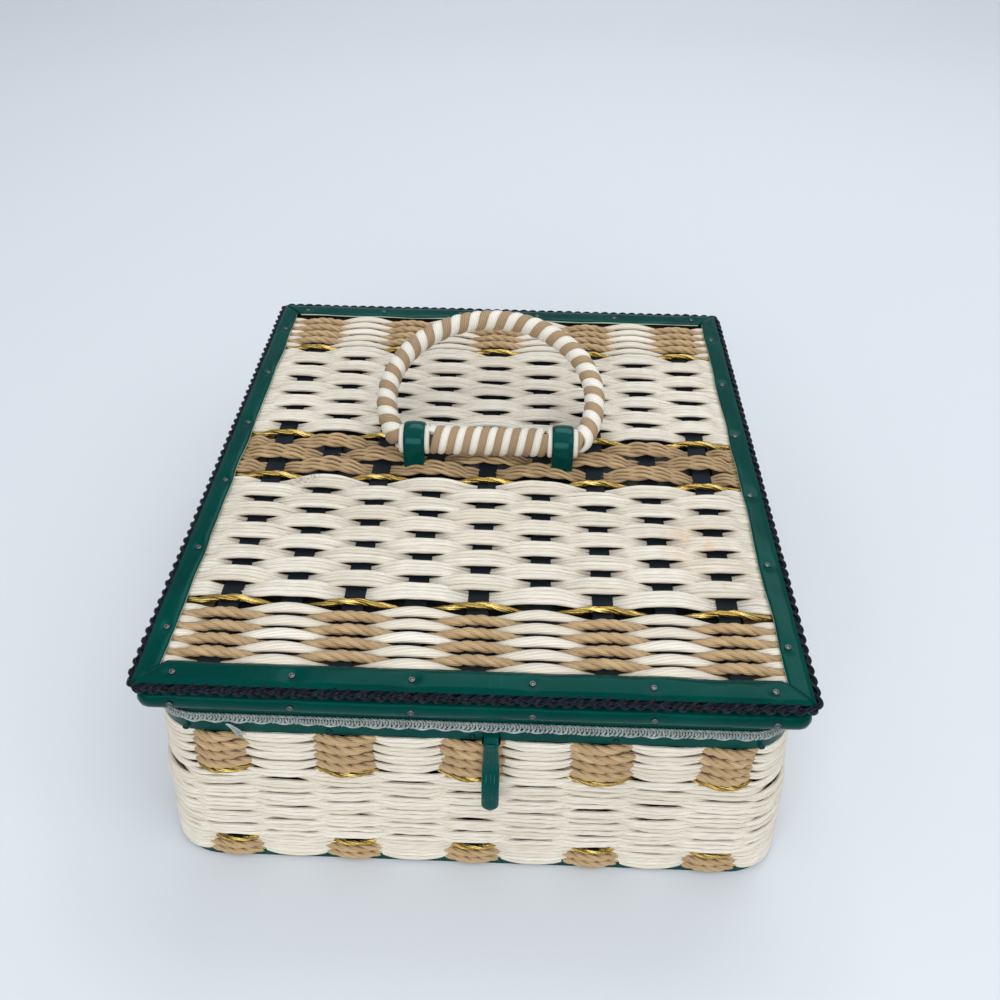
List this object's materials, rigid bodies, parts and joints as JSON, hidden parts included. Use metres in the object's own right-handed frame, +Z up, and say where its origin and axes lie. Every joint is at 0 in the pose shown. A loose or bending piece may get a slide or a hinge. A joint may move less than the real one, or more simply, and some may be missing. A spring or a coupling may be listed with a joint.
{
  "type": "woven sewing basket",
  "caption": "Rectangular woven sewing basket with a framed hinged lid, a wound ring handle that folds in two straps, a padded lining and a pull loop at the front.",
  "frame": {"origin": "middle of the face that the basket rests on", "axes": "+X to the right seen from the front, +Y from the front to the hinge, +Z up"},
  "size_m": [0.266, 0.304, 0.1459],
  "materials": {
    "checker_weave": "woven tan and cream cord",
    "gold_cord": "twisted metallic cord",
    "cream_weave": "smooth cream cord",
    "tan_weave": "twisted tan cord",
    "stake_strip": "flat dark woven strip",
    "green_vinyl": "glossy embossed vinyl",
    "dark_plait": "glossy dark plait",
    "silver_braid": "silver grey braid",
    "wood_lath": "plain planed wood",
    "satin": "padded satin",
    "board": "hardboard",
    "wire": "drawn steel wire",
    "tack_steel": "polished steel",
    "handle_end": "cream moulded collar"
  },
  "bodies": {
    "base": {"bottom_board": "green_vinyl", "wall_stakes": "stake_strip", "wall_checker_band": "checker_weave", "wall_upper_gold_cord": "gold_cord", "wall_white_field": "cream_weave", "wall_lower_gold_cord": "gold_cord", "wall_lower_band": "checker_weave", "rim_hoop": "wood_lath", "rim_band": "green_vinyl", "rim_gimp": "silver_braid", "rim_tacks": "tack_steel", "lining_front": "satin", "lining_back": "satin", "lining_left": "satin", "lining_right": "satin", "bottom_pad": "satin", "hinge_base_straps": "green_vinyl", "hinge_pins": "wire", "hinge_base_tacks": "tack_steel", "pull_staple": "wire"},
    "lid": {"back_binding": "green_vinyl", "front_binding": "green_vinyl", "handle_strap_left": "green_vinyl", "handle_strap_right": "green_vinyl", "hinge_lid_straps": "green_vinyl", "hinge_lid_tacks": "tack_steel", "left_binding": "green_vinyl", "lid_back_checker": "checker_weave", "lid_back_gold_cord": "gold_cord", "lid_back_rail": "wood_lath", "lid_back_white_field": "cream_weave", "lid_backing_board": "board", "lid_edge_cord": "dark_plait", "lid_front_checker": "checker_weave", "lid_front_gold_cord": "gold_cord", "lid_front_rail": "wood_lath", "lid_front_white_field": "cream_weave", "lid_left_rail": "wood_lath", "lid_mid_back_gold_cord": "gold_cord", "lid_mid_front_gold_cord": "gold_cord", "lid_pad": "satin", "lid_right_rail": "wood_lath", "lid_side_band": "green_vinyl", "lid_side_tacks": "tack_steel", "lid_stakes": "stake_strip", "lid_tan_field": "tan_weave", "lid_top_tacks": "tack_steel", "right_binding": "green_vinyl"},
    "handle": {"handle_core": "wire", "handle_collars": "handle_end", "grip_sleeve": "wood_lath", "grip_wrap_tan": "tan_weave", "grip_wrap_cream": "cream_weave", "bow_wrap_tan": "tan_weave", "bow_wrap_cream": "cream_weave"},
    "pull": {"pull_loop": "green_vinyl"}
  },
  "joints": [
    {"name": "lid_hinge", "type": "hinge", "parent": "base", "child": "lid", "pos_m": [0, 0.1496, 0.0915], "axis": [-1, 0, 0], "range_deg": [0, 105]},
    {"name": "handle_pivot", "type": "hinge", "parent": "lid", "child": "handle", "pos_m": [0, 0, 0.1168], "axis": [1, 0, 0], "range_deg": [-18, 160]},
    {"name": "loop_swing", "type": "hinge", "parent": "base", "child": "pull", "pos_m": [0.0075, -0.14768, 0.0795], "axis": [-1, 0, 0], "range_deg": [0, 110]}
  ]
}
